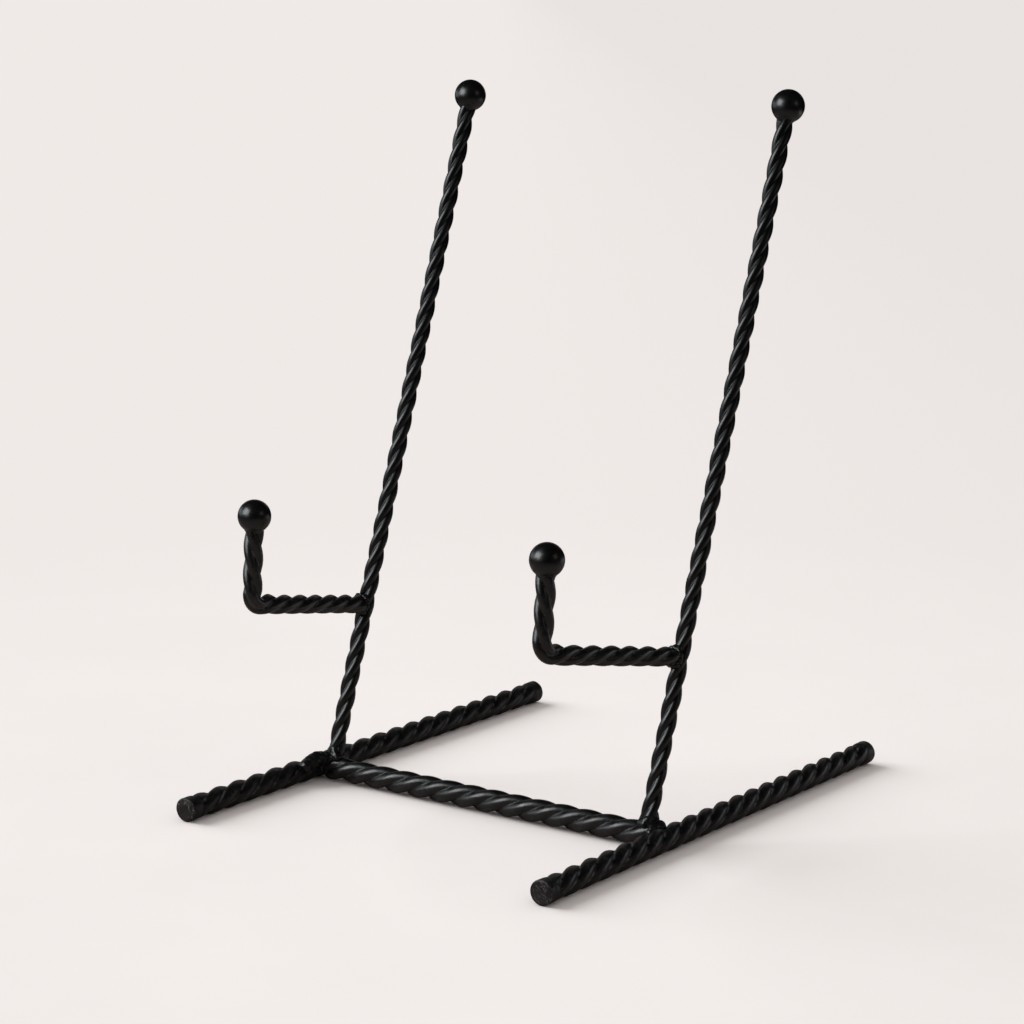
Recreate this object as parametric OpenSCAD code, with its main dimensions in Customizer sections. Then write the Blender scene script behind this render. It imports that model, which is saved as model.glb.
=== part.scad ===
// Photo album stand: a welded easel of twisted wire rods with a steel ball on every free tip.
// Two floor rails run front to back and a cross bar joins them. An upright leans back from each
// end of the cross bar, and a hook reaches forward from each upright to carry the album.
// X runs across the stand, Y from front to back, Z up. Z = 0 is the surface that it stands on.

/* [Base] */
// Length of each floor rail
rail_len = 222; // [180:1:260]
// Distance between the axes of the two floor rails
rail_gauge = 164; // [130:1:200]
// Distance from the front end of a rail to the axis of the cross bar
bar_setback = 77.6; // [60:0.2:100]
// Diameter of each wire in the rails and the cross bar
base_wire_d = 4.2; // [3.8:0.1:4.6]
// Length of one full turn of the twist in the rails and the cross bar
base_lead = 32; // [28:1:40]
// Thickness of the fused tip that closes each end of a rail
tip_len = 1.6; // [1:0.1:3]

/* [Uprights] */
// Length of an upright from the top of the cross bar to the centre of its ball
upright_len = 269.2; // [200:0.2:320]
// Lean of the uprights back from vertical, in degrees
upright_lean = 19.3; // [12:0.1:24]
// Diameter of each wire in an upright
upright_wire_d = 3; // [2.6:0.1:3.4]
// Length of one full turn of the twist in an upright
upright_lead = 27.8; // [24:0.1:36]

/* [Hooks] */
// Height of a hook up its upright, measured along the upright
hook_height = 61.2; // [45:0.2:80]
// Length of the arm from the axis of the upright to the corner of the hook
hook_arm = 77.4; // [60:0.2:90]
// Length of the upturned end from the corner of the hook to the centre of its ball
hook_tip = 33.1; // [26:0.1:45]
// Rise of the arm towards the front, in degrees
hook_rise = 10.7; // [0:0.1:16]
// Lean of the upturned end back towards the upright, in degrees
hook_tip_lean = 4.3; // [0:0.1:8]
// Turn of each hook towards the middle of the stand, in degrees
hook_toe_in = 5.7; // [0:0.1:8]
// Bend radius at the corner of the hook, to the axis of the rod
hook_bend_r = 5.4; // [5:0.1:9]
// Diameter of each wire in a hook
hook_wire_d = 3.4; // [2.8:0.1:3.8]
// Length of one full turn of the twist in a hook
hook_lead = 31; // [24:1:36]

/* [Balls] */
// Diameter of the ball on each free tip
ball_d = 12.5; // [10:0.1:16]

/* [Hidden] */
WIRES = [1, 2, 3];
SIDES = ["left", "right"];
RAIL_ENDS = ["front", "back"];

black = "#1c1d1f";
charcoal = "#26272a";
weld_black = "#141416";
ball_fn = 96;

// Sweep resolution: corners round a wire, rings in a turn of the twist, and rings in the bend
wire_sides = 8;
rings_per_turn = 9;
bend_rings = 6;
right_hand = 1;
left_hand = -1;

// Distance between two welded pieces that would otherwise share a face
weld_gap = 0.1;

// Wires lie round the rod's axis at this many wire radii, where the twist makes them touch
lay_ratio = 1.186;
function rod_r(wire_d) = wire_d / 2 * (1 + lay_ratio);
base_r = rod_r(base_wire_d);
upright_r = rod_r(upright_wire_d);
hook_r = rod_r(hook_wire_d);

// Turn of the first wire about its rod at the start of the rod, in degrees
rail_phase = -40;
bar_phase = -50;
left_upright_phase = 4;
right_upright_phase = -58;
left_hook_phase = 60;
right_hook_phase = -10;

function side_sign(side) = side == "left" ? -1 : 1;
function along(p, t, s) = p + t * s;
function unit(v) = v / norm(v);

// Base
rail_x = rail_gauge / 2;
rail_front = -rail_len / 2;
bar_y = rail_front + bar_setback;
bar_half = rail_x - base_r - weld_gap;

// Uprights: each stands on the cross bar, close against the inner side of its rail
upright_x = rail_x - base_r - upright_r - weld_gap;
upright_dir = [0, sin(upright_lean), cos(upright_lean)];
upright_back = [0, cos(upright_lean), -sin(upright_lean)];
upright_start = upright_r * tan(upright_lean) + weld_gap;
function foot(side) = [side_sign(side) * upright_x, bar_y, 2 * base_r];

// Hooks: the arm starts where its end face clears the front of the upright
function toed(side, v) =
    let (turn = -side_sign(side) * hook_toe_in)
    [-v.y * sin(turn), v.y * cos(turn), v.z];
function arm_dir(side) = toed(side, [0, -cos(hook_rise), sin(hook_rise)]);
function tip_dir(side) = toed(side, [0, sin(hook_tip_lean), cos(hook_tip_lean)]);
function hook_root(side) = along(foot(side), upright_dir, hook_height);
function hook_corner(side) = along(hook_root(side), arm_dir(side), hook_arm);
arm_slope = upright_lean - hook_rise;
arm_start = upright_r / cos(arm_slope) + hook_r * tan(arm_slope) + weld_gap;
bend_turn = 90 - hook_rise + hook_tip_lean;
bend_tangent = hook_bend_r * tan(bend_turn / 2);
bend_len = hook_bend_r * bend_turn * PI / 180;

// A ball has a flat seat as wide as its rod, at this distance from the centre
function seat_depth(rod_r) = sqrt(pow(ball_d / 2, 2) - rod_r * rod_r);
upright_end = upright_len - seat_depth(upright_r);
tip_end = hook_tip - seat_depth(hook_r);

// A station is [distance along the rod, point on its axis, tangent, normal]
function straight(s0, s1, p, t, n, lead) =
    let (steps = round((s1 - s0) * rings_per_turn / lead))
    [for (i = [0:steps])
        let (s = s0 + (s1 - s0) * i / steps)
        [s, along(p, t, s), t, n]];

function bend(s0, p, t, n) =
    [for (i = [1:bend_rings - 1])
        let (
            turn = bend_turn * i / bend_rings,
            now_n = n * cos(turn) - t * sin(turn)
        )
        [s0 + bend_len * i / bend_rings,
            p + n * hook_bend_r - now_n * hook_bend_r,
            t * cos(turn) + n * sin(turn),
            now_n]];

function hook_stations(side) =
    let (
        root = hook_root(side),
        corner = hook_corner(side),
        arm = arm_dir(side),
        tip = tip_dir(side),
        plane = unit(cross(arm, tip)),
        bend_start = hook_arm - bend_tangent,
        tip_shift = bend_start + bend_len - bend_tangent
    )
    concat(
        straight(arm_start, bend_start, root, arm, cross(plane, arm), hook_lead),
        bend(bend_start, along(root, arm, bend_start), arm, cross(plane, arm)),
        straight(tip_shift + bend_tangent, tip_shift + tip_end,
            along(corner, tip, -tip_shift), tip, cross(plane, tip), hook_lead)
    );

// One wire's outline at a station, cut square to the rod, so it is a little wider than it is deep
function wire_ring(station, wire, wire_d, lead, hand, phase) =
    let (
        lay_r = wire_d / 2 * lay_ratio,
        stretch = sqrt(1 + pow(2 * PI * lay_r / lead, 2)),
        angle = phase + hand * 360 * station[0] / lead + 360 / len(WIRES) * wire,
        n = station[3],
        b = cross(station[2], n),
        out = n * cos(angle) + b * sin(angle),
        across = b * cos(angle) - n * sin(angle)
    )
    [for (j = [0:wire_sides - 1])
        let (q = 360 * j / wire_sides)
        station[1]
            + out * (lay_r + wire_d / 2 * cos(q))
            + across * (wire_d / 2 * stretch * sin(q))];

module twisted_wire(stations, wire, wire_d, lead, hand, phase) {
    rings = len(stations);
    last = (rings - 1) * wire_sides;
    skin = [for (i = [0:rings - 2], j = [0:wire_sides - 1])
        let (
            a = i * wire_sides + j,
            b = i * wire_sides + (j + 1) % wire_sides,
            c = b + wire_sides,
            d = a + wire_sides
        )
        each [[a, d, c], [a, c, b]]];
    start_cap = [for (j = [0:wire_sides - 1]) j];
    end_cap = [for (j = [0:wire_sides - 1]) last + wire_sides - 1 - j];
    polyhedron(
        points = [for (station = stations)
            each wire_ring(station, wire, wire_d, lead, hand, phase)],
        faces = concat([start_cap], skin, [end_cap])
    );
}

module aim(dir) {
    rotate([0, acos(dir.z / norm(dir)), atan2(dir.y, dir.x)]) children();
}

module rail_wire(side, wire) {
    start = [side_sign(side) * rail_x, rail_front, base_r];
    color(charcoal) twisted_wire(
        straight(tip_len, rail_len - tip_len, start, [0, 1, 0], [0, 0, 1], base_lead),
        wire, base_wire_d, base_lead, left_hand, rail_phase);
}

// The wires of a rail are fused into a flat round tip at each end
module rail_tip(side, end) {
    outward = end == "front" ? -1 : 1;
    rim = 0.4;
    color(charcoal)
        translate([side_sign(side) * rail_x, outward * (rail_len / 2 - tip_len), base_r])
            rotate([outward * -90, 0, 0])
                rotate_extrude($fn = 96)
                    polygon([[0, 0], [base_r, 0], [base_r, tip_len - rim],
                        [base_r - rim, tip_len], [0, tip_len]]);
}

module cross_bar_wire(wire) {
    color(black) twisted_wire(
        straight(0, 2 * bar_half, [-bar_half, bar_y, base_r], [1, 0, 0], [0, 0, 1], base_lead),
        wire, base_wire_d, base_lead, left_hand, bar_phase);
}

module upright_wire(side, wire) {
    phase = side == "left" ? left_upright_phase : right_upright_phase;
    color(black) twisted_wire(
        straight(upright_start, upright_end, foot(side), upright_dir, upright_back, upright_lead),
        wire, upright_wire_d, upright_lead, right_hand, phase);
}

module hook_wire(side, wire) {
    phase = side == "left" ? left_hook_phase : right_hook_phase;
    color(black) twisted_wire(
        hook_stations(side), wire, hook_wire_d, hook_lead, left_hand, phase);
}

// A solid steel ball with a flat seat where the rod is welded on
module ball(centre, dir, rod_r) {
    color(black) translate(centre) aim(-dir) difference() {
        sphere(d = ball_d, $fn = ball_fn);
        translate([0, 0, seat_depth(rod_r)]) cylinder(h = ball_d, r = ball_d, $fn = ball_fn);
    }
}

module upright_ball(side) {
    ball(along(foot(side), upright_dir, upright_len), upright_dir, upright_r);
}

module hook_ball(side) {
    ball(along(hook_corner(side), tip_dir(side), hook_tip), tip_dir(side), hook_r);
}

// Welds the end of the cross bar to the inner side of the rail, over the top and down each side
module bar_weld(side) {
    bead_r = 1.9;
    seam_x = side_sign(side) * (rail_x - base_r);
    seam = [seam_x, bar_y, base_r];
    reach = base_r - 0.4;
    color(weld_black) for (turn = [-90:45:90])
        translate(seam + [0, sin(turn), cos(turn)] * reach)
            sphere(r = bead_r, $fn = 48);
}

// Welds the foot of the upright to the cross bar, all the way round
module foot_weld(side) {
    bead_r = 1.5;
    reach = upright_r + 0.5;
    lift = 0.5;
    color(weld_black) translate(foot(side) + [0, 0, lift])
        rotate_extrude($fn = 48)
            translate([reach, 0])
                circle(r = bead_r, $fn = 48);
}

// Welds the arm of a hook to the front of its upright, all the way round the arm
module hook_weld(side) {
    bead_r = 1.1;
    reach = hook_r - 0.3;
    seat = along(hook_root(side), arm_dir(side), arm_start + 0.3);
    color(weld_black) translate(seat) aim(arm_dir(side))
        rotate_extrude($fn = 48)
            translate([reach, 0])
                circle(r = bead_r, $fn = 48);
}

for (side = SIDES) {
    for (k = WIRES) {
        rail_wire(side, k);
        upright_wire(side, k);
        hook_wire(side, k);
    }
    for (end = RAIL_ENDS)
        rail_tip(side, end);
    upright_ball(side);
    hook_ball(side);
    bar_weld(side);
    foot_weld(side);
    hook_weld(side);
}
for (k = WIRES)
    cross_bar_wire(k);
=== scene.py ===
"""Looks of the twisted wire album stand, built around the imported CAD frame.

Every CAD wire, ball, tip and weld gets a finer piece in the same place: the wires with the
coat pooled between the strands, the balls with a weld collar, the tips fused and ground, and
the welds as lumpy beads. Lengths are in metres in the CAD frame: X right, Y back, Z up.
"""

import math

import bpy
import numpy as np
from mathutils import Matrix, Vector, noise


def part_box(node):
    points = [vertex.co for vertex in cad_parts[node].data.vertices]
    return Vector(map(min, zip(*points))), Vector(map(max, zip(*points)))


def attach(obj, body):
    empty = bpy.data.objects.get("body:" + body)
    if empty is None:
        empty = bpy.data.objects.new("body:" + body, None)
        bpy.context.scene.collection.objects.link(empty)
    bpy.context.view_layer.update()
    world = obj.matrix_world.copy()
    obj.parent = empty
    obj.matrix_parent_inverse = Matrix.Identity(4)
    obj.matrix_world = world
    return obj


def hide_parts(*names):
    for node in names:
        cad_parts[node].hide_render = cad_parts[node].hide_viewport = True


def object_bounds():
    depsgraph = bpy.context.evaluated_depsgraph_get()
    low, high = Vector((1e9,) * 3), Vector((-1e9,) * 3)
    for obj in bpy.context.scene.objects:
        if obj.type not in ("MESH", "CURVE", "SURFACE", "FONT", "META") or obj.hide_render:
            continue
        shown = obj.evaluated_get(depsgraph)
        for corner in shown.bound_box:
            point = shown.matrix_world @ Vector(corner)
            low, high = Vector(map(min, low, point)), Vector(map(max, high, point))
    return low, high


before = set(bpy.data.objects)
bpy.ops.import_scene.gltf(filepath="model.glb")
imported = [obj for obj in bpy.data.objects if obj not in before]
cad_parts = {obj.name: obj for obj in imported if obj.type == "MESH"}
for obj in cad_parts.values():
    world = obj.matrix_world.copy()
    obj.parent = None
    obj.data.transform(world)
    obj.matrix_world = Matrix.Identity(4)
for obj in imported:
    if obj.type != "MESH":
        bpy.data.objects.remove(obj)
cad_low, cad_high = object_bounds()

MM = 0.001
FULL_TURN = 2 * math.pi
SIDES = ("left", "right")
ENDS = ("front", "back")
STRANDS = (1, 2, 3)
RIGHT_HAND, LEFT_HAND = 1, -1
RIGHT = np.array([1.0, 0.0, 0.0])
BACK = np.array([0.0, 1.0, 0.0])
UP = np.array([0.0, 0.0, 1.0])

# How far a wire's centre is from its rod's axis, in radii of the wire
LAY_RATIO = 1.186


class Rod:
    """Three wires twisted together: the wire and twist are the CAD model's.

    lobe is the radius of a coated strand's back and fillet that of the coat in the groove,
    both as shares of the rod's radius: a large lobe makes a shallow groove.
    """

    def __init__(self, wire_d, lead, hand, lobe, fillet):
        self.radius = wire_d / 2 * (1 + LAY_RATIO)
        self.lead = lead
        self.hand = hand
        self.lobe = lobe
        self.fillet = fillet


RAIL = Rod(4.2 * MM, 32 * MM, LEFT_HAND, 0.62, 0.06)
BAR = Rod(4.2 * MM, 32 * MM, LEFT_HAND, 0.60, 0.06)
UPRIGHT = Rod(3.0 * MM, 27.8 * MM, RIGHT_HAND, 0.57, 0.08)
HOOK = Rod(3.4 * MM, 31 * MM, LEFT_HAND, 0.59, 0.04)

# Where each rod's twist starts, in degrees
RAIL_PHASE = -40
BAR_PHASE = -50
UPRIGHT_PHASE = {"left": 4, "right": -58}
HOOK_PHASE = {"left": 60, "right": -10}

# The hooks, as in the CAD model
HOOK_HEIGHT = 61.2 * MM
HOOK_ARM = 77.4 * MM
HOOK_RISE = math.radians(10.7)
HOOK_TIP_LEAN = math.radians(4.3)
HOOK_TOE_IN = math.radians(5.7)
HOOK_CORNER_R = 5.4 * MM
HOOK_BEND_TURN = math.pi / 2 - HOOK_RISE + HOOK_TIP_LEAN

# The bend of a hook pinches its wires up by this much, this far before it, over this width
PINCH = 0.4 * MM
PINCH_BEFORE = 3.5 * MM
PINCH_WIDTH = 3.4 * MM

# A strand starts this far clear of the rod that it is welded to
START_GAP = 0.1 * MM

# Unevenness of hand-fed twisting, which fades out over END_FADE at both ends of a strand
TWIST_WANDER = math.radians(3.0)
TWIST_WAVE = 40 * MM
SWELL = 0.010
SWELL_WAVE = 9 * MM
END_FADE = 6 * MM
# Strands are drawn this share thinner, so a swollen one stays inside the CAD rod
SHRINK = 0.006

# Mesh resolution
OUTLINE_STEPS = 22
FILLET_STEPS = 5
RINGS_PER_TURN = 56

# A face that meets its neighbour at more than this is drawn with a sharp edge
SHARP_ANGLE = math.radians(40)


def sign(side):
    return -1 if side == "left" else 1


def unit(v):
    v = np.asarray(v, float)
    return v / np.linalg.norm(v)


def middle(node):
    low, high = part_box(node)
    return np.array((low + high) / 2)


# ---- places read from the frame ----

TIP_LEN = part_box("left_rail_front_tip")[1].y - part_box("left_rail_front_tip")[0].y
BALL_R = (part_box("left_upright_ball")[1].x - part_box("left_upright_ball")[0].x) / 2
RAIL_X = middle("right_rail_front_tip")[0]
RAIL_FRONT, RAIL_BACK = cad_low.y, cad_high.y
BAR_LOW, BAR_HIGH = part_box("cross_bar_wire_1")
BAR_Y = middle("right_bar_weld")[1]


def ball_centre(node):
    """The flat seat never cuts a ball's top or its widest points."""
    low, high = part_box(node)
    return np.array([(low.x + high.x) / 2, high.y - BALL_R, high.z - BALL_R])


def ball_seat(rod):
    """Distance from a ball's centre to the flat that a rod's end meets."""
    return math.sqrt(BALL_R**2 - rod.radius**2)


def upright_axis(side):
    """(foot, direction, length to the ball's centre)"""
    top = ball_centre(f"{side}_upright_ball")
    foot = np.array([top[0], BAR_Y, 2 * RAIL.radius])
    reach = top - foot
    return foot, unit(reach), np.linalg.norm(reach)


def toed(side, v):
    """A direction in the side plane, turned inwards as the hooks are."""
    turn = -sign(side) * HOOK_TOE_IN
    return np.array([-v[1] * math.sin(turn), v[1] * math.cos(turn), v[2]])


def hook_directions(side):
    """Directions of the arm, away from the upright, and of the upturned end."""
    arm = toed(side, (0, -math.cos(HOOK_RISE), math.sin(HOOK_RISE)))
    tip = toed(side, (0, math.sin(HOOK_TIP_LEAN), math.cos(HOOK_TIP_LEAN)))
    return arm, tip


def hook_root(side):
    foot, lean, _ = upright_axis(side)
    return foot + lean * HOOK_HEIGHT


def arm_slope(side):
    """How far the arm is from square to the upright, in radians."""
    lean = upright_axis(side)[1]
    return math.asin(-float(np.dot(lean, (0, -math.cos(HOOK_RISE), math.sin(HOOK_RISE)))))


def arm_start(side):
    slope = arm_slope(side)
    return UPRIGHT.radius / math.cos(slope) + HOOK.radius * math.tan(slope) + START_GAP


# ---- paths: distance -> point, tangent, normal ----


class Straight:
    def __init__(self, origin, tangent, normal, start, end):
        self.origin, self.tangent, self.normal = map(np.asarray, (origin, tangent, normal))
        self.start, self.end = start, end

    def at(self, s):
        one = np.ones_like(s)[:, None]
        return self.origin + s[:, None] * self.tangent, one * self.tangent, one * self.normal

    def bulge(self, s):
        return np.zeros_like(s)


class Hook:
    """A straight arm, a tight bend and a straight upturned end."""

    def __init__(self, side, end):
        self.root = hook_root(side)
        self.arm, tip = hook_directions(side)
        plane = unit(np.cross(self.arm, tip))
        self.up = np.cross(plane, self.arm)
        tangent_len = HOOK_CORNER_R * math.tan(HOOK_BEND_TURN / 2)
        self.bend_start = HOOK_ARM - tangent_len
        self.bend_end = self.bend_start + HOOK_CORNER_R * HOOK_BEND_TURN
        self.start = arm_start(side)
        self.end = self.bend_end - tangent_len + end

    def at(self, s):
        turn = np.clip((s - self.bend_start) / HOOK_CORNER_R, 0, HOOK_BEND_TURN)[:, None]
        on_arm = np.minimum(s, self.bend_start)[:, None]
        past = np.maximum(s - self.bend_end, 0)[:, None]
        tangent = np.cos(turn) * self.arm + np.sin(turn) * self.up
        normal = np.cos(turn) * self.up - np.sin(turn) * self.arm
        point = self.root + on_arm * self.arm + HOOK_CORNER_R * (self.up - normal) + past * tangent
        return point, tangent, normal

    def bulge(self, s):
        """The bend pinches the wires up on its inner side, just before the corner."""
        return PINCH * np.exp(-(((s - self.bend_start + PINCH_BEFORE) / PINCH_WIDTH) ** 2))


# ---- meshes ----


def place(name, data):
    """A new object in the scene."""
    item = bpy.data.objects.new(name, data)
    bpy.context.collection.objects.link(item)
    return item


def new_piece(name, verts, faces, slot, smooth_angle=SHARP_ANGLE):
    """A mesh piece that rides on the stand and stands for the CAD node of the same name."""
    mesh = bpy.data.meshes.new(name)
    mesh.from_pydata([tuple(v) for v in verts], [], faces)
    mesh.validate()
    mesh.shade_smooth()
    mesh.set_sharp_from_angle(angle=smooth_angle)
    mesh.update()
    piece = place(name, mesh)
    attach(piece, "root")
    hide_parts(name)
    mesh.materials.append(MATERIALS[slot])
    return piece


def store(piece, name, values):
    """Keep one number for each vertex, which the materials read by name."""
    layer = piece.data.attributes.new(name, "FLOAT", "POINT")
    layer.data.foreach_set("value", np.asarray(values, np.float32))


def ring_quads(rings, sides):
    """Faces between rings of vertices that follow one another."""
    faces = []
    for i in range(rings - 1):
        for j in range(sides):
            a, b = i * sides + j, i * sides + (j + 1) % sides
            faces.append((a, b, b + sides, a + sides))
    return faces


def strand_outline(rod):
    """Outline of one coated strand square to its rod, and each point's crown.

    A strand fills a third of the rod. Its back is an arc of radius lobe, which runs out at each
    side into a hollow fillet where the coat has pooled against the next strand. A point is
    (outward, sideways). crown is 1 on the strand's outermost line and 0 down in the groove.
    """
    sixth = math.radians(60)
    lobe_r, fillet_r = rod.lobe * rod.radius, rod.fillet * rod.radius
    centre = rod.radius - lobe_r
    far = centre * math.cos(sixth) + math.sqrt(
        (lobe_r + fillet_r) ** 2 - (centre * math.sin(sixth)) ** 2
    )
    hollow = far * np.array([math.cos(sixth), math.sin(sixth)])
    out = hollow - (centre, 0)
    meet = math.atan2(out[1], out[0])
    back = [meet * (2 * i / OUTLINE_STEPS - 1) for i in range(OUTLINE_STEPS + 1)]
    first, last = math.atan2(-out[1], -out[0]), math.atan2(-hollow[1], -hollow[0])
    side = []
    for i in range(1, FILLET_STEPS + 1):
        a = first + (last - first) * i / FILLET_STEPS
        side.append(hollow + fillet_r * np.array([math.cos(a), math.sin(a)]))
    inner = 0.25 * side[-1]
    points = [(p[0], -p[1]) for p in reversed(side)]
    points += [(centre + lobe_r * math.cos(a), lobe_r * math.sin(a)) for a in back]
    points += [tuple(p) for p in side]
    points += [tuple(inner), (inner[0], -inner[1])]
    outline = np.array(points)
    groove = far - fillet_r
    crown = (np.hypot(outline[:, 0], outline[:, 1]) - groove) / (rod.radius - groove)
    return outline, np.clip(crown, 0, 1)


def fractal(position, octaves):
    """Smooth repeatable noise, about -1 to 1."""
    return noise.fractal(position, 1.0, 2.0, octaves)


def waver(s, seed, wave):
    """Noise along a rod, at each distance in s."""
    return np.array([fractal(Vector((x / wave, seed * 7.31, seed * 3.7)), 3) for x in s])


def bump_at(p, scale):
    """Noise over a surface, at a point."""
    return fractal(Vector(p) / scale, 2)


def strand(name, path, wire, rod, phase, slot, seed):
    """One wire of a twisted rod, with the small unevenness of hand-fed twisting."""
    turns = (path.end - path.start) / rod.lead
    rings = int(round(turns * RINGS_PER_TURN)) + 1
    s = np.linspace(path.start, path.end, rings)
    point, tangent, normal = path.at(s)
    outline, crown = strand_outline(rod)
    slack = np.minimum(1, np.minimum(s - path.start, path.end - s) / END_FADE)
    angle = np.radians(phase + 120 * wire) + rod.hand * FULL_TURN * s / rod.lead
    angle += slack * TWIST_WANDER * waver(s, seed, TWIST_WAVE)
    swell = 1 + slack * SWELL * waver(s, seed + 0.3, SWELL_WAVE) - SHRINK
    binormal = np.cross(tangent, normal)
    out = np.cos(angle)[:, None] * normal + np.sin(angle)[:, None] * binormal
    across = np.cos(angle)[:, None] * binormal - np.sin(angle)[:, None] * normal
    u = outline[None, :, 0] * swell[:, None]
    w = outline[None, :, 1] * swell[:, None]
    ray = u[..., None] * out[:, None] + w[..., None] * across[:, None]
    inner = np.maximum(0, np.einsum("ijk,ik->ij", ray, normal) / rod.radius) ** 2
    ray += (inner * path.bulge(s)[:, None])[..., None] * normal[:, None]
    verts = point[:, None] + ray
    sides = len(outline)
    faces = ring_quads(rings, sides)
    faces.append(tuple(range(sides - 1, -1, -1)))
    faces.append(tuple((rings - 1) * sides + j for j in range(sides)))
    piece = new_piece(name, verts.reshape(-1, 3), faces, slot)
    store(piece, "crown", np.tile(crown, rings))


def twisted_rod(name, path, rod, phase, slot, seed):
    for wire in STRANDS:
        strand(f"{name}_wire_{wire}", path, wire, rod, phase, slot, seed)


def revolve(profile, origin, axis, steps, wobble, grain):
    """Vertices and faces of a closed profile [(radius, height)] turned about an axis."""
    axis = unit(axis)
    side = unit(np.cross(axis, (0.31, 0.87, 0.39)))
    other = np.cross(axis, side)
    verts = []
    rings = [p for p in profile if p[0] > 0]
    for r, h in rings:
        for k in range(steps):
            a = FULL_TURN * k / steps
            ray = math.cos(a) * side + math.sin(a) * other
            p = origin + axis * h + ray * r
            verts.append(p + ray * wobble * min(1, r / MM) * bump_at(p, grain))
    faces = ring_quads(len(rings), steps)
    for ring, pole, flip in ((0, profile[0], True), (len(rings) - 1, profile[-1], False)):
        verts.append(origin + axis * pole[1])
        tip = len(verts) - 1
        for k in range(steps):
            a, b = ring * steps + k, ring * steps + (k + 1) % steps
            faces.append((b, a, tip) if flip else (a, b, tip))
    return verts, faces


# The weld collar under a ball: how far it runs down the rod, its mouth and knee as shares of
# the rod's radius, and how far past the rod it meets the ball
COLLAR_LEN = 1.1 * MM
COLLAR_MOUTH = 0.80
COLLAR_KNEE = 0.99
COLLAR_KNEE_RISE = 0.05 * MM
COLLAR_REACH = math.radians(7)
COLLAR_STEPS = 9
BALL_ROWS = 41
BALL_COLUMNS = 64


def ball(node, centre, direction, rod):
    """A solid ball with a small weld collar that runs down onto the strands."""
    seat = ball_seat(rod)
    mouth = rod.radius * COLLAR_MOUTH
    join = math.asin(min(0.99, rod.radius / BALL_R)) + COLLAR_REACH
    start = np.array([mouth, -seat - COLLAR_LEN])
    knee = np.array([rod.radius * COLLAR_KNEE, -seat + COLLAR_KNEE_RISE])
    end = np.array([BALL_R * math.sin(join), -BALL_R * math.cos(join)])
    profile = [(0.0, -seat - COLLAR_LEN), (mouth, -seat - COLLAR_LEN)]
    for i in range(1, COLLAR_STEPS):
        t = i / COLLAR_STEPS
        profile.append(tuple((1 - t) ** 2 * start + 2 * t * (1 - t) * knee + t * t * end))
    for i in range(BALL_ROWS):
        a = join + (math.pi - join) * i / BALL_ROWS
        profile.append((BALL_R * math.sin(a), -BALL_R * math.cos(a)))
    profile.append((0.0, BALL_R))
    verts, faces = revolve(profile, centre, direction, BALL_COLUMNS, 0.035 * MM, 3 * MM)
    new_piece(node, verts, faces, "ball_coat")


# A rail's tip: the radius of its worn edge, how far the fused metal runs in between the
# strands, and its radius there and at the tip as shares of the rod's
TIP_EDGE = 0.55 * MM
TIP_FILL = 8 * MM
TIP_ROOT = 0.60
TIP_GROWTH = 0.39
TIP_GROWN_AT = 0.7
TIP_SHARE = 0.995
TIP_COLUMNS = 72
# The ground face is very slightly hollow
DISH = 0.015 * MM
DISH_MIDDLE = 0.02 * MM


def tip_profile():
    """Profile of a rail's tip, as (radius, height), with the end face at height 0."""
    inner = -TIP_LEN - TIP_FILL
    profile = [(0.0, inner), (TIP_ROOT * RAIL.radius, inner)]
    for i in range(1, 13):
        t = i / 12
        rise = min(1, t / TIP_GROWN_AT)
        ease = rise * rise * (3 - 2 * rise)
        radius = RAIL.radius * (TIP_ROOT + TIP_GROWTH * ease)
        profile.append((radius, -TIP_LEN - TIP_FILL * (1 - t)))
    side = RAIL.radius * TIP_SHARE
    profile.append((side, -TIP_EDGE - 0.3 * MM))
    for i in range(7):
        a = math.pi / 2 * i / 6
        profile.append((side - TIP_EDGE + TIP_EDGE * math.cos(a), -TIP_EDGE + TIP_EDGE * math.sin(a)))
    for share in (0.75, 0.5, 0.25, 0.08):
        profile.append((RAIL.radius * share, -DISH * (1 + share)))
    profile.append((0.0, -DISH_MIDDLE))
    return profile


def rail_tip(side, end):
    """The fused end of a rail: a ground face with a worn edge, filling in between the strands.

    ground is 1 on the end face. crown rises towards its rim, where the coat is drawn paler, partly as
    rubbed coat and partly as a painted highlight on the worn edge.
    """
    node = f"{side}_rail_{end}_tip"
    outward = -BACK if end == "front" else BACK
    face = np.array([sign(side) * RAIL_X, RAIL_FRONT if end == "front" else RAIL_BACK, RAIL.radius])
    verts, faces = revolve(tip_profile(), face, outward, TIP_COLUMNS, 0.05 * MM, 2.5 * MM)
    piece = new_piece(node, verts, faces, "tip_coat")
    depth = [-float(np.dot(v - face, outward)) for v in verts]
    flat = [v - face - outward * np.dot(v - face, outward) for v in verts]
    rim = np.array([np.linalg.norm(v) / RAIL.radius for v in flat])
    ground = np.clip(1.3 - np.array(depth) / TIP_EDGE, 0, 1)
    store(piece, "ground", ground)
    # On the end face crown marks the rim, which the coat draws paler: partly rubbed coat, partly a
    # painted highlight.
    store(piece, "crown", np.where(ground > 0, np.clip(rim, 0, 1) ** 6, 0.5))


def blob_mesh(blobs):
    """Vertices and faces of a round for each (centre, radius)."""
    rows, cols = 10, 16
    verts, faces = [], []
    for centre, radius in blobs:
        base = len(verts)
        verts.append(centre + radius * UP)
        for i in range(1, rows):
            down = math.pi * i / rows
            for k in range(cols):
                turn = FULL_TURN * k / cols
                flat = math.sin(down)
                ray = (flat * math.cos(turn), flat * math.sin(turn), math.cos(down))
                verts.append(centre + radius * np.array(ray))
        verts.append(centre - radius * UP)
        last = len(verts) - 1
        for k in range(cols):
            n = (k + 1) % cols
            faces.append((base, base + 1 + k, base + 1 + n))
            faces.append((last, last - cols + n, last - cols + k))
            for i in range(rows - 2):
                a = base + 1 + i * cols
                faces.append((a + k, a + cols + k, a + cols + n, a + n))
    return [tuple(v) for v in verts], faces


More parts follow.
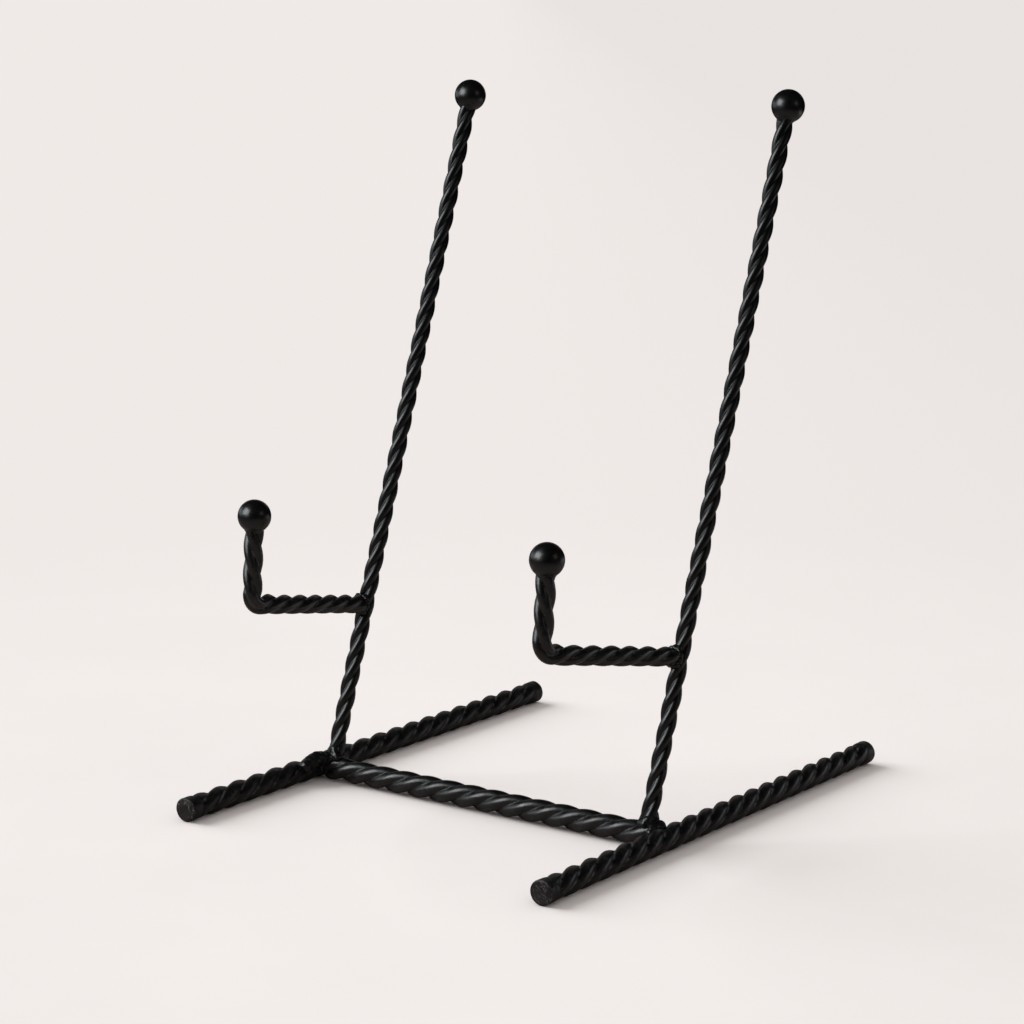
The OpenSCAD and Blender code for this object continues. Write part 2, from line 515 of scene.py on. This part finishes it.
RIPPLE_SIZE = 2.6 * MM
# Weld metal stays this far above the surface that the stand rests on
WELD_FLOOR = 0.02 * MM


def bead(name, blobs, voxel, ripple):
    """Weld metal: blobs run together, smoothed and rippled, as one closed skin."""
    rough = bpy.data.meshes.new(name + "_blobs")
    verts, faces = blob_mesh(blobs)
    rough.from_pydata(verts, [], faces)
    holder = place(name + "_blobs", rough)
    remesh = holder.modifiers.new("skin", "REMESH")
    remesh.mode = "VOXEL"
    remesh.voxel_size = voxel
    smooth = holder.modifiers.new("flow", "SMOOTH")
    smooth.factor = 0.5
    smooth.iterations = 14
    bpy.context.view_layer.update()
    skin = holder.evaluated_get(bpy.context.evaluated_depsgraph_get()).to_mesh()
    points = [v.co + v.normal * ripple * bump_at(v.co, RIPPLE_SIZE) for v in skin.vertices]
    for p in points:
        p.z = max(p.z, WELD_FLOOR)
    polygons = [tuple(p.vertices) for p in skin.polygons]
    holder.to_mesh_clear()
    bpy.data.objects.remove(holder)
    bpy.data.meshes.remove(rough)
    new_piece(name, points, polygons, "weld_coat", smooth_angle=math.pi)


def ring_blobs(centre, first, second, reach, degrees, size, seed, jitter):
    """Blobs on an arc about centre, each a little off its place and size."""
    blobs = []
    for k, d in enumerate(degrees):
        turn = math.radians(d)
        wander = [noise.noise(Vector((seed + k * 1.7, j * 2.9, seed))) for j in range(5)]
        ray = math.cos(turn) * first + math.sin(turn) * second
        spot = centre + ray * reach + jitter * MM * np.array(wander[:3])
        blobs.append((spot, size * (1 + jitter * wander[4])))
    return blobs


# ---- materials ----

# Scale of each detail of the coat, in cells a metre
MOTTLE_SCALE = 260
RUB_SCALE = 900
SETTLED_SCALE = 340
LINT_SCALE = 620
LINT_PATCH_SCALE = 120
SCRAPE_SCALE = 300
SCRAPE_BREAK_SCALE = 420
GLOSS_SCALE = 520
GRAIN_SCALE = 4200
PEEL_SCALE = 850

# Height of the grain and of the orange peel
GRAIN_HEIGHT = 0.03 * MM
PEEL_HEIGHT = 0.15 * MM

# Colours of what lies on or shows through the coat. The rubbed colour also paints a highlight on the
# rims of the tips, and the groove colour is partly a painted light catch.
RUBBED_AND_SHEEN = (0.085, 0.083, 0.080)
GROOVE_DUST_AND_SHEEN = (0.11, 0.11, 0.115)
LINT = (0.33, 0.31, 0.29)
SCRAPED = (0.20, 0.20, 0.21)


def nodes_of(name):
    material = bpy.data.materials.new(name)
    material.use_nodes = True
    tree = material.node_tree
    shader = tree.nodes["Principled BSDF"]
    return material, tree, shader


def add(tree, kind, **values):
    node = tree.nodes.new(kind)
    for key, value in values.items():
        setattr(node, key, value)
    return node


def noise_tex(tree, where, scale, detail=3.0, rough=0.55):
    tex = add(tree, "ShaderNodeTexNoise")
    tex.inputs["Scale"].default_value = scale
    tex.inputs["Detail"].default_value = detail
    tex.inputs["Roughness"].default_value = rough
    tree.links.new(where, tex.inputs["Vector"])
    return tex.outputs["Fac"]


def remap(tree, value, low, high, to_low=0.0, to_high=1.0):
    node = add(tree, "ShaderNodeMapRange", clamp=True)
    node.inputs["From Min"].default_value = low
    node.inputs["From Max"].default_value = high
    node.inputs["To Min"].default_value = to_low
    node.inputs["To Max"].default_value = to_high
    tree.links.new(value, node.inputs["Value"])
    return node.outputs["Result"]


def product(tree, *factors):
    """The factors multiplied together: each is an output or, but for the first, a number."""
    result = factors[0]
    for factor in factors[1:]:
        node = add(tree, "ShaderNodeMath", operation="MULTIPLY")
        tree.links.new(result, node.inputs[0])
        if isinstance(factor, (int, float)):
            node.inputs[1].default_value = factor
        else:
            tree.links.new(factor, node.inputs[1])
        result = node.outputs[0]
    return result


def mix_colour(tree, factor, a, b):
    node = add(tree, "ShaderNodeMix", data_type="RGBA")
    tree.links.new(factor, node.inputs[0])
    for socket, value in ((node.inputs[6], a), (node.inputs[7], b)):
        if isinstance(value, tuple):
            socket.default_value = (*value, 1)
        else:
            tree.links.new(value, socket)
    return node.outputs[2]


def attribute(tree, name):
    return add(tree, "ShaderNodeAttribute", attribute_name=name).outputs["Fac"]


def bump(tree, height, strength, distance):
    node = add(tree, "ShaderNodeBump")
    node.inputs["Strength"].default_value = strength
    node.inputs["Distance"].default_value = distance
    tree.links.new(height, node.inputs["Height"])
    return node


def worn_and_sheen_crowns(tree, where, colour, wear_and_sheen):
    """The outermost line of each strand is rubbed paler, in patches. On a tip's end face the same
    layer also paints a highlight along the rim.
    """
    crown = remap(tree, attribute(tree, "crown"), 0.75, 1.0)
    patches = remap(tree, noise_tex(tree, where, RUB_SCALE, 5, 0.7), 0.45, 0.65)
    return mix_colour(tree, product(tree, crown, patches, wear_and_sheen), colour, RUBBED_AND_SHEEN)


def dusty_and_sheen_grooves(tree, where, colour, groove):
    """The grooves between the strands are paler in patches: partly settled fine dust, partly a painted
    light catch.
    """
    low = remap(tree, attribute(tree, "crown"), 0.02, 0.30, 1.0, 0.0)
    patches = remap(tree, noise_tex(tree, where, SETTLED_SCALE, 4), 0.45, 0.60)
    return mix_colour(tree, product(tree, low, patches, groove), colour, GROOVE_DUST_AND_SHEEN)


def specks_of_lint(tree, where, colour, dust):
    cells = add(tree, "ShaderNodeTexVoronoi")
    cells.inputs["Scale"].default_value = LINT_SCALE
    tree.links.new(where, cells.inputs["Vector"])
    speck = remap(tree, cells.outputs["Distance"], 0.06, 0.13, 1.0, 0.0)
    patches = remap(tree, noise_tex(tree, where, LINT_PATCH_SCALE, 2), 0.52, 0.66)
    return mix_colour(tree, product(tree, speck, patches, dust), colour, LINT)


def scraped_face(tree, where, colour, scratches):
    """Fine broken scratches where the metal was ground."""
    lines = add(tree, "ShaderNodeTexWave", wave_type="BANDS", bands_direction="DIAGONAL")
    lines.inputs["Scale"].default_value = SCRAPE_SCALE
    lines.inputs["Distortion"].default_value = 9
    lines.inputs["Detail"].default_value = 4
    lines.inputs["Detail Scale"].default_value = 1.6
    tree.links.new(where, lines.inputs["Vector"])
    line = remap(tree, lines.outputs["Fac"], 0.95, 1.0)
    broken = remap(tree, noise_tex(tree, where, SCRAPE_BREAK_SCALE, 3), 0.47, 0.57)
    scrape = product(tree, line, broken, attribute(tree, "ground"), scratches)
    return mix_colour(tree, scrape, colour, SCRAPED)


def powder_coat(name, dark, light, rough, specular, grain, peel, patchy=0.06, peel_scale=PEEL_SCALE,
                wear_and_sheen=0.0, groove=0.0, dust=0.0, scratches=0.0):
    """Black powder coat: two-tone mottle under wear, dust and painted highlights, with a fine grain
    and orange peel.

    rough varies by patchy either way. grain and peel are bump strengths. The wear (with sheen),
    groove, dust and scratch amounts say how strongly those layers show; the wear and groove layers
    partly paint highlights.
    """
    material, tree, shader = nodes_of(name)
    where = add(tree, "ShaderNodeTexCoord").outputs["Object"]
    mottle = noise_tex(tree, where, MOTTLE_SCALE, 4)
    colour = mix_colour(tree, remap(tree, mottle, 0.35, 0.65), dark, light)
    layers = (
        (worn_and_sheen_crowns, wear_and_sheen), (dusty_and_sheen_grooves, groove), (specks_of_lint, dust), (scraped_face, scratches)
    )
    for layer, amount in layers:
        if amount:
            colour = layer(tree, where, colour, amount)
    tree.links.new(colour, shader.inputs["Base Color"])

    gloss = noise_tex(tree, where, GLOSS_SCALE, 4)
    roughness = remap(tree, gloss, 0.3, 0.7, rough - patchy, rough + patchy)
    tree.links.new(roughness, shader.inputs["Roughness"])
    shader.inputs["Specular IOR Level"].default_value = specular

    fine = bump(tree, noise_tex(tree, where, GRAIN_SCALE, 3, 0.6), grain, GRAIN_HEIGHT)
    waves = bump(tree, noise_tex(tree, where, peel_scale, 3, 0.5), peel, PEEL_HEIGHT)
    tree.links.new(fine.outputs["Normal"], waves.inputs["Normal"])
    tree.links.new(waves.outputs["Normal"], shader.inputs["Normal"])
    return material


COATS = {
    "rail_coat": dict(
        dark=(0.0006, 0.0005, 0.0004), light=(0.0034, 0.0029, 0.0025), rough=0.35, specular=0.46,
        grain=0.4, peel=0.45, wear_and_sheen=0.15, groove=0.45, dust=0.25,
    ),
    # On the tips the strong wear layer is partly rubbed coat and partly a painted highlight along the
    # rim of the end face.
    "tip_coat": dict(
        dark=(0.0030, 0.0028, 0.0028), light=(0.0110, 0.0104, 0.0104), rough=0.42, specular=0.34,
        grain=0.6, peel=0.5, wear_and_sheen=0.9, dust=0.6, scratches=0.7,
    ),
    "bar_coat": dict(
        dark=(0.0010, 0.0010, 0.0010), light=(0.0032, 0.0031, 0.0031), rough=0.33, specular=0.57,
        grain=0.25, peel=0.6, peel_scale=500, wear_and_sheen=0.15, groove=0.20, dust=0.20,
    ),
    "upright_coat": dict(
        dark=(0.0004, 0.0005, 0.0006), light=(0.0012, 0.0014, 0.0016), rough=0.32, specular=0.50,
        grain=0.08, peel=0.08, patchy=0.01,
    ),
    "hook_coat": dict(
        dark=(0.0010, 0.0009, 0.0008), light=(0.0056, 0.0050, 0.0045), rough=0.31, specular=0.48,
        grain=0.25, peel=0.25, patchy=0.03, wear_and_sheen=0.10, groove=0.20, dust=0.10,
    ),
    "ball_coat": dict(
        dark=(0.0010, 0.0010, 0.0011), light=(0.0023, 0.0023, 0.0024), rough=0.31, specular=0.54,
        grain=0.35, peel=0.10, patchy=0.03, dust=0.10,
    ),
    "weld_coat": dict(
        dark=(0.0013, 0.0014, 0.0016), light=(0.0030, 0.0031, 0.0035), rough=0.34, specular=0.46,
        grain=0.05, peel=0.05, patchy=0.01,
    ),
}
MATERIALS = {slot: powder_coat(slot, **coat) for slot, coat in COATS.items()}


# ---- the stand ----


def make_rails():
    for n, side in enumerate(SIDES):
        origin = (sign(side) * RAIL_X, RAIL_FRONT, RAIL.radius)
        path = Straight(origin, BACK, UP, TIP_LEN, RAIL_BACK - RAIL_FRONT - TIP_LEN)
        twisted_rod(f"{side}_rail", path, RAIL, RAIL_PHASE, "rail_coat", n + 1)
        for end in ENDS:
            rail_tip(side, end)


def make_cross_bar():
    origin = (BAR_LOW.x, BAR_Y, BAR.radius)
    path = Straight(origin, RIGHT, UP, 0, BAR_HIGH.x - BAR_LOW.x)
    twisted_rod("cross_bar", path, BAR, BAR_PHASE, "bar_coat", 5)


def make_uprights():
    for n, side in enumerate(SIDES):
        foot, lean, length = upright_axis(side)
        square = np.array([0, lean[2], -lean[1]])
        start = UPRIGHT.radius * lean[1] / lean[2] + START_GAP
        path = Straight(foot, lean, square, start, length - ball_seat(UPRIGHT))
        twisted_rod(f"{side}_upright", path, UPRIGHT, UPRIGHT_PHASE[side], "upright_coat", n + 11)
        ball(f"{side}_upright_ball", foot + lean * length, lean, UPRIGHT)


def make_hooks():
    for n, side in enumerate(SIDES):
        arm, tip = hook_directions(side)
        corner = hook_root(side) + arm * HOOK_ARM
        centre = ball_centre(f"{side}_hook_ball")
        tip_len = float(np.dot(centre - corner, tip))
        path = Hook(side, tip_len - ball_seat(HOOK))
        twisted_rod(f"{side}_hook", path, HOOK, HOOK_PHASE[side], "hook_coat", n + 21)
        ball(f"{side}_hook_ball", centre, tip, HOOK)


# Welds: the radius of a run of blobs, how deep its centre is in the rod, and where it runs
WELD_SINK = 0.5 * MM
BAR_BLOB = 1.5 * MM
BAR_ARC = range(-105, 106, 15)
FOOT_BLOB = 1.4 * MM
HOOK_BLOB = 1.0 * MM
HOOK_SHOULDER_BLOB = 1.1 * MM
HOOK_SHOULDERS = (-30, 0, 30, 150, 180, 210)
RING = range(0, 360, 24)
WELD_VOXEL = 0.25 * MM
HOOK_WELD_VOXEL = 0.2 * MM
FOOT_RIPPLE = 0.35 * MM

# The weld climbs each strand of a foot in this many steps, in mm a step, and narrows as it goes
CLIMB_STEPS = 12
CLIMB = 0.45
CLIMB_FLARE = 1.2 * MM

# Lumps of weld beside each foot, on top of the rail: outward, back, up and radius, in mm
FOOT_LUMPS = {
    "left": (
        (2.0, -3.2, -0.6, 3.0), (2.7, -5.0, -0.3, 3.2), (3.2, -6.8, -0.2, 3.3),
        (3.5, -8.6, -0.5, 3.2), (3.7, -10.6, -1.0, 3.0), (3.8, -12.6, -1.8, 2.7),
        (5.2, 1.4, -1.6, 2.2),
    ),
    "right": ((4.2, 1.6, -1.2, 2.4), (5.0, 0.0, -1.3, 2.2), (3.6, -1.6, -1.4, 2.1)),
}


def bar_weld(side, seed):
    """An arc over the end of the cross bar, where it meets the inner side of a rail."""
    seam = np.array([sign(side) * (RAIL_X - RAIL.radius), BAR_Y, RAIL.radius])
    reach = RAIL.radius - WELD_SINK
    blobs = ring_blobs(seam, UP, BACK, reach, BAR_ARC, BAR_BLOB, seed, 0.25)
    bead(f"{side}_bar_weld", blobs, WELD_VOXEL, 0.0)


def foot_weld(side, seed):
    """A ring round an upright's foot that climbs its strands, and lumps beside it."""
    out = sign(side) * RIGHT
    foot, lean, _ = upright_axis(side)
    reach = UPRIGHT.radius - WELD_SINK
    blobs = ring_blobs(foot + lean * 0.2 * MM, out, BACK, reach, RING, FOOT_BLOB, seed, 0.0)
    size = UPRIGHT.radius * 0.47 + 0.15 * MM
    for wire in STRANDS:
        for step in range(CLIMB_STEPS):
            rise = CLIMB * step * MM
            flare = CLIMB_FLARE * (1 - step / (CLIMB_STEPS - 1)) ** 2
            turn = UPRIGHT_PHASE[side] + 120 * wire + 360 * rise / UPRIGHT.lead + 90
            reach = UPRIGHT.radius * 0.48 + flare
            blobs += ring_blobs(foot + lean * rise, out, BACK, reach, (turn,), size, seed, 0.0)
    for x, y, z, radius in FOOT_LUMPS[side]:
        blobs.append((foot + (x * out + y * BACK + z * UP) * MM, radius * MM))
    bead(f"{side}_foot_weld", blobs, WELD_VOXEL, FOOT_RIPPLE)


def hook_weld(side, ring_seed, shoulder_seed):
    """A ring round the root of an arm, with more metal on its top and underside."""
    lean = upright_axis(side)[1]
    arm = hook_directions(side)[0]
    across = unit(np.cross(arm, lean))
    over = np.cross(across, arm)
    seat = hook_root(side) + arm * (arm_start(side) + 0.1 * MM)
    reach = HOOK.radius - WELD_SINK
    blobs = ring_blobs(seat, over, across, reach, RING, HOOK_BLOB, ring_seed, 0.25)
    reach = HOOK.radius - 0.1 * MM
    blobs += ring_blobs(
        seat - arm * 0.4 * MM, over, across, reach, HOOK_SHOULDERS, HOOK_SHOULDER_BLOB,
        shoulder_seed, 0.3,
    )
    bead(f"{side}_hook_weld", blobs, HOOK_WELD_VOXEL, 0.0)


def make_welds():
    for n, side in enumerate(SIDES):
        bar_weld(side, n + 31)
        foot_weld(side, n + 37)
        hook_weld(side, n + 41, n + 43)


# ---- stage, light and camera ----

# The paper's colour, how much clouds vary it, and the painted shade that darkens it far out and away
# from the window
PAPER = (0.555, 0.545, 0.538)
PAPER_CLOUDS = 0.02
PAPER_FAR_SHADE = 0.95
PAPER_AWAY_SHADE = 0.94
AWAY_FROM_WINDOW = (0.80, 0.60, 0.0)
FLOOR_RINGS = (0.4, 1.0, 2.5, 6.0, 15.0, 40.0, 120.0)
FLOOR_STEPS = 96

# The studio's light, and what the coat's gloss reflects instead of the pale studio and floor
STUDIO = (0.85, 0.79, 0.77)
DARK_STUDIO = (0.012, 0.013, 0.015)
FLOOR_MIRRORED = (0.175, 0.158, 0.148)
BLACK = (0.0, 0.0, 0.0)

CAMERA_AZIMUTH = math.radians(36.5)
CAMERA_ELEVATION = math.radians(10.83)
CAMERA_DISTANCE = 1.089
CAMERA_LENS = 101.1
CAMERA_AIM = Vector((-0.0051, -0.0095, 0.1111))

# The lights stand in directions given as (right, up, back) of the camera
SUN_ENERGY = 5.0
SUN_ANGLE = math.radians(50)
SUN_PLACE = (-1.2, 0.9, -0.5)

# Soft panels that the coat reflects: place, distance, width, height, radiance and colour
COOL = (0.86, 0.94, 1.0)
WARM = (1.0, 0.93, 0.87)
PANELS = {
    "key": ((-0.82, 0.43, 0.42), 1.3, 0.92, 0.76, 7.2, (0.95, 0.98, 1.0)),
    "left": ((-1.0, 0.30, -0.40), 1.3, 1.0, 0.45, 1.3, COOL),
    "right": ((0.93, -0.06, -0.27), 0.5, 0.36, 0.10, 0.8, COOL),
    "front": ((0.77, 0.30, 0.55), 1.3, 0.4, 0.4, 0.8, WARM),
    "back": ((-0.05, 0.42, -0.90), 1.3, 1.4, 0.4, 0.30, WARM),
}


def shaded(colour, share):
    return tuple(share * c for c in colour)


def unlike_in_gloss(tree, shader, mirrored, output):
    """Show one shader, and the other to rays that a glossy surface has reflected."""
    either = add(tree, "ShaderNodeMixShader")
    tree.links.new(add(tree, "ShaderNodeLightPath").outputs["Is Glossy Ray"], either.inputs[0])
    tree.links.new(shader.outputs[0], either.inputs[1])
    tree.links.new(mirrored.outputs[0], either.inputs[2])
    tree.links.new(either.outputs[0], tree.nodes[output].inputs["Surface"])


def paper():
    """Matt paper with faint clouds, and painted shade: a little darker far out and away from the
    window.
    """
    material, tree, shader = nodes_of("paper")
    where = add(tree, "ShaderNodeTexCoord").outputs["Object"]
    cloud = remap(tree, noise_tex(tree, where, 9, 4), 0.3, 0.7)
    darker, lighter = shaded(PAPER, 1 - PAPER_CLOUDS), shaded(PAPER, 1 + PAPER_CLOUDS)
    colour = mix_colour(tree, cloud, darker, lighter)
    # Painted shade: the paper darkens far out from the stand and away from the window.
    reach = add(tree, "ShaderNodeVectorMath", operation="LENGTH")
    tree.links.new(where, reach.inputs[0])
    far = remap(tree, reach.outputs["Value"], 0.10, 0.55)
    colour = mix_colour(tree, far, colour, shaded(PAPER, PAPER_FAR_SHADE))
    across = add(tree, "ShaderNodeVectorMath", operation="DOT_PRODUCT")
    across.inputs[1].default_value = AWAY_FROM_WINDOW
    tree.links.new(where, across.inputs[0])
    dim = remap(tree, across.outputs["Value"], 0.0, 0.5, 1.0, PAPER_AWAY_SHADE)
    scale = add(tree, "ShaderNodeVectorMath", operation="SCALE")
    tree.links.new(colour, scale.inputs[0])
    tree.links.new(dim, scale.inputs["Scale"])
    tree.links.new(scale.outputs["Vector"], shader.inputs["Base Color"])
    shader.inputs["Roughness"].default_value = 0.95
    shader.inputs["Specular IOR Level"].default_value = 0.0
    # Rays reflected by the coat see a dimmer copy of the paper, fading to black far out: a painted
    # reflection.
    mirrored = add(tree, "ShaderNodeBsdfDiffuse")
    away = remap(tree, reach.outputs["Value"], 0.25, 0.90)
    tree.links.new(mix_colour(tree, away, FLOOR_MIRRORED, BLACK), mirrored.inputs["Color"])
    unlike_in_gloss(tree, shader, mirrored, "Material Output")
    return material


def make_floor():
    """A wide pale floor. It runs out so far that its edge is at the horizon in every view."""
    verts = [(0.0, 0.0, 0.0)]
    faces = []
    for i, r in enumerate(FLOOR_RINGS):
        for k in range(FLOOR_STEPS):
            turn = FULL_TURN * k / FLOOR_STEPS
            verts.append((r * math.cos(turn), r * math.sin(turn), 0.0))
        for k in range(FLOOR_STEPS):
            a, b = 1 + i * FLOOR_STEPS + k, 1 + i * FLOOR_STEPS + (k + 1) % FLOOR_STEPS
            faces.append((0, a, b) if i == 0 else (a - FLOOR_STEPS, a, b, b - FLOOR_STEPS))
    mesh = bpy.data.meshes.new("floor")
    mesh.from_pydata(verts, [], faces)
    floor = place("floor", mesh)
    mesh.materials.append(paper())


def camera_axes():
    """(right, up, back) of the camera. back runs from the aim point to the camera."""
    a, e = CAMERA_AZIMUTH, CAMERA_ELEVATION
    back = Vector((math.sin(a) * math.cos(e), -math.cos(a) * math.cos(e), math.sin(e)))
    right = Vector((math.cos(a), math.sin(a), 0))
    return right, back.cross(right), back


def direction(parts):
    right, up, back = camera_axes()
    return right * parts[0] + up * parts[1] + back * parts[2]


def face_from(item, toward):
    """Turn a camera or a lamp to look the opposite way to a direction."""
    item.rotation_mode = "QUATERNION"
    item.rotation_quaternion = toward.to_track_quat("Z", "Y")


def softbox(name, spot, distance, width, height, radiance, colour):
    """A soft panel that the black coat reflects. The world and the sun light the floor."""
    data = bpy.data.lights.new(name, "AREA")
    data.shape = "RECTANGLE"
    data.size = width
    data.size_y = height
    data.energy = radiance * math.pi * width * height
    data.color = colour
    lamp = place(name, data)
    toward = direction(spot).normalized()
    lamp.location = CAMERA_AIM + toward * distance
    face_from(lamp, toward)
    lamp.visible_diffuse = False


def make_world():
    world = bpy.data.worlds.new("studio")
    bpy.context.scene.world = world
    world.use_nodes = True
    tree = world.node_tree
    pale = tree.nodes["Background"]
    pale.inputs["Color"].default_value = (*STUDIO, 1)
    dark = add(tree, "ShaderNodeBackground")
    dark.inputs["Color"].default_value = (*DARK_STUDIO, 1)
    unlike_in_gloss(tree, pale, dark, "World Output")


def make_lights():
    sun = bpy.data.lights.new("sun", "SUN")
    sun.energy = SUN_ENERGY
    sun.angle = SUN_ANGLE
    lamp = place("sun", sun)
    face_from(lamp, direction(SUN_PLACE))
    lamp.visible_glossy = False
    for name, panel in PANELS.items():
        softbox(name, *panel)


def make_camera():
    data = bpy.data.cameras.new("camera")
    data.sensor_width = 36
    data.lens = CAMERA_LENS
    data.clip_start = 0.01
    data.clip_end = 50
    camera = place("camera", data)
    back = camera_axes()[2]
    camera.location = CAMERA_AIM + back * CAMERA_DISTANCE
    face_from(camera, back)
    bpy.context.scene.camera = camera


make_camera()
make_rails()
make_cross_bar()
make_uprights()
make_hooks()
make_welds()
make_floor()
make_world()
make_lights()
bpy.context.scene.view_settings.view_transform = "Standard"
